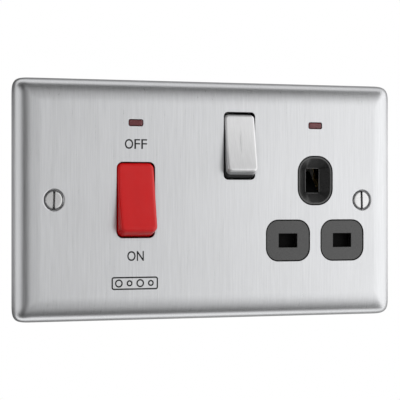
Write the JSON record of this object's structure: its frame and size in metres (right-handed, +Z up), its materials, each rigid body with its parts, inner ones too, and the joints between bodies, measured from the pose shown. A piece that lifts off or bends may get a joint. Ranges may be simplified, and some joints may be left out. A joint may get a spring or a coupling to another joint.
{
  "type": "cooker control unit",
  "caption": "Steel-fronted cooker control unit with a red rocker switch, a switched three-pin socket, indicator lenses and rear terminals.",
  "frame": {"origin": "centre of the faceplate's rear rim, midway between the two fixing screws", "axes": "+X right and +Z up as seen from the room, +Y into the wall along the fixing screws"},
  "size_m": [0.148, 0.0343, 0.086],
  "materials": {
    "brushed_steel": "brushed",
    "screw_steel": "satin",
    "cap_steel": "brushed",
    "black_moulding": "satin",
    "red_plastic": "gloss",
    "dark_plastic": "satin",
    "shutter_plastic": "satin",
    "housing_plastic": "matt",
    "zinc_steel": "zinc plated",
    "spring_steel": "bright",
    "silver": "polished",
    "red_lens": "clear red",
    "lamp_glass": "clear",
    "resistor_body": "matt",
    "plunger_plastic": "satin",
    "clamp_steel": "zinc plated",
    "brass": "drawn"
  },
  "bodies": {
    "unit": {"cooker_lamp": "lamp_glass", "cooker_lens": "red_lens", "cooker_live_fixed_tip": "silver", "cooker_neutral_fixed_tip": "silver", "cooker_resistor": "resistor_body", "earth_bar": "brass", "earth_clip": "brass", "fixing_screw_left": "screw_steel", "fixing_screw_right": "screw_steel", "front_moulding": "black_moulding", "front_plate": "brushed_steel", "housing": "housing_plastic", "housing_screws": "zinc_steel", "live_clip": "brass", "load_earth_terminal": "brass", "load_live_strip": "brass", "load_live_terminal": "brass", "load_neutral_strip": "brass", "load_neutral_terminal": "brass", "neutral_clip": "brass", "shutter_spring": "spring_steel", "socket_fixed_tip": "silver", "socket_lamp": "lamp_glass", "socket_lens": "red_lens", "socket_resistor": "resistor_body", "supply_earth_terminal": "brass", "supply_live_strip": "brass", "supply_live_terminal": "brass", "supply_neutral_strip": "brass", "supply_neutral_terminal": "brass", "switched_live_strip": "brass"},
    "cooker_rocker": {"cooker_rocker": "red_plastic", "cooker_neutral_plunger": "plunger_plastic", "cooker_live_plunger": "plunger_plastic", "cooker_neutral_spring": "spring_steel", "cooker_live_spring": "spring_steel"},
    "cooker_contacts": {"cooker_neutral_moving_contact": "brass", "cooker_live_moving_contact": "brass", "cooker_neutral_moving_tip": "silver", "cooker_live_moving_tip": "silver"},
    "socket_rocker": {"socket_rocker_cap": "cap_steel", "socket_rocker_dolly": "dark_plastic", "socket_plunger": "plunger_plastic", "socket_spring": "spring_steel"},
    "socket_contact": {"socket_moving_contact": "brass", "socket_moving_tip": "silver"},
    "shutter": {"shutter": "shutter_plastic"},
    "load_neutral_screw": {"load_neutral_screw": "clamp_steel"},
    "load_live_screw": {"load_live_screw": "clamp_steel"},
    "load_earth_screw": {"load_earth_screw": "clamp_steel"},
    "supply_neutral_screw": {"supply_neutral_screw": "clamp_steel"},
    "supply_live_screw": {"supply_live_screw": "clamp_steel"},
    "supply_earth_screw": {"supply_earth_screw": "clamp_steel"}
  },
  "joints": [
    {"name": "cooker_rocker_tilt", "type": "hinge", "parent": "unit", "child": "cooker_rocker", "pos_m": [-0.0298, -0.002, 0], "axis": [1, 0, 0], "range_deg": [0, 20]},
    {"name": "cooker_contacts_tilt", "type": "hinge", "parent": "unit", "child": "cooker_contacts", "pos_m": [-0.0298, 0.007, 0], "axis": [1, 0, 0], "range_deg": [-14, 0]},
    {"name": "socket_rocker_tilt", "type": "hinge", "parent": "unit", "child": "socket_rocker", "pos_m": [0.0104, -0.002, 0.0197], "axis": [1, 0, 0], "range_deg": [0, 20]},
    {"name": "socket_contact_tilt", "type": "hinge", "parent": "unit", "child": "socket_contact", "pos_m": [0.0104, 0.007, 0.0197], "axis": [1, 0, 0], "range_deg": [-14, 0]},
    {"name": "shutter_slide", "type": "slide", "parent": "unit", "child": "shutter", "axis": [0, 0, -1], "range_m": [0, 0.0065], "stiffness_N_per_m": 100, "springref_m": -0.003, "deforming": ["shutter_spring"]},
    {"name": "load_neutral_screw_travel", "type": "slide", "parent": "unit", "child": "load_neutral_screw", "axis": [0, -1, 0], "range_m": [0, 0.0024]},
    {"name": "load_live_screw_travel", "type": "slide", "parent": "unit", "child": "load_live_screw", "axis": [0, -1, 0], "range_m": [0, 0.0024]},
    {"name": "load_earth_screw_travel", "type": "slide", "parent": "unit", "child": "load_earth_screw", "axis": [0, -1, 0], "range_m": [0, 0.0024]},
    {"name": "supply_neutral_screw_travel", "type": "slide", "parent": "unit", "child": "supply_neutral_screw", "axis": [0, -1, 0], "range_m": [0, 0.0024]},
    {"name": "supply_live_screw_travel", "type": "slide", "parent": "unit", "child": "supply_live_screw", "axis": [0, -1, 0], "range_m": [0, 0.0024]},
    {"name": "supply_earth_screw_travel", "type": "slide", "parent": "unit", "child": "supply_earth_screw", "axis": [0, -1, 0], "range_m": [0, 0.0024]}
  ],
  "couplings": [
    {"joint": "cooker_contacts_tilt", "follows": "cooker_rocker_tilt", "ratio": -0.7},
    {"joint": "socket_contact_tilt", "follows": "socket_rocker_tilt", "ratio": -0.7}
  ]
}
